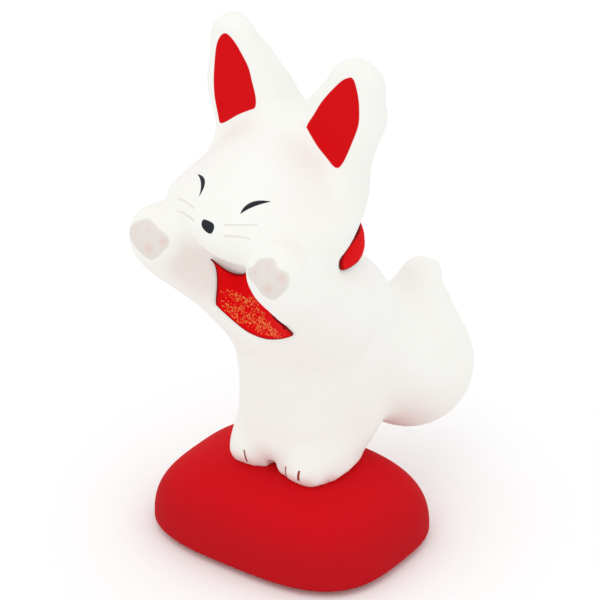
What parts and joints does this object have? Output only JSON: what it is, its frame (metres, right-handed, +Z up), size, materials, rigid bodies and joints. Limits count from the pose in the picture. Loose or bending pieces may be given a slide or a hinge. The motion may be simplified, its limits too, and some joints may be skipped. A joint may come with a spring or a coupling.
{
  "type": "fox statuette",
  "caption": "White folk-craft fox with raised paws and a big upturned tail, wearing a red bib and collar, on a red rounded stone-shaped base.",
  "frame": {"origin": "middle of the base's flat underside", "axes": "+Z up through the head, -Y the way the fox looks, +X the fox's left"},
  "size_m": [0.0666, 0.0904, 0.1374],
  "materials": {
    "white_body": "matte shell-white paint over moulded paper, with painted ears, eyes, nose, whiskers, pads and toes",
    "red_base": "matte red paint over moulded paper",
    "red_cloth": "thin red cloth with gold flecks on the bib"
  },
  "bodies": {
    "root": {"fox": "white_body", "base": "red_base", "collar": "red_cloth", "bib": "red_cloth"}
  },
  "joints": []
}
